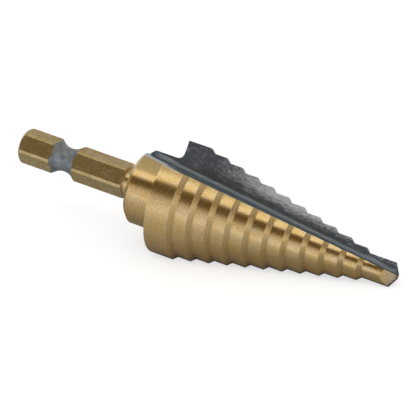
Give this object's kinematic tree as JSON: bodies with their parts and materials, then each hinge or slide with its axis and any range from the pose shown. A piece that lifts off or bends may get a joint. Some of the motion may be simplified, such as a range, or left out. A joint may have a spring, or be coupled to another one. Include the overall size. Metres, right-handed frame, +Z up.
{
  "type": "step drill",
  "caption": "One-piece step drill: a cone of short cutting steps with straight flutes, for opening and sizing holes in sheet metal, on a hexagonal quick-change shank.",
  "frame": {"origin": "centre of the bounding box, on the surface that the drill rests on", "axes": "+X along the drill as it lies, from shank to point; +Z up. The drill lies on two corners of its largest step and one of its smallest, so its own axis slopes down towards the point"},
  "size_m": [0.0786, 0.0208, 0.019],
  "materials": {
    "coated_steel": "gold titanium-nitride coating on ground high-speed steel, with the flutes and the shank's groove ground bare"
  },
  "bodies": {
    "root": {"step_drill": "coated_steel"}
  },
  "joints": []
}
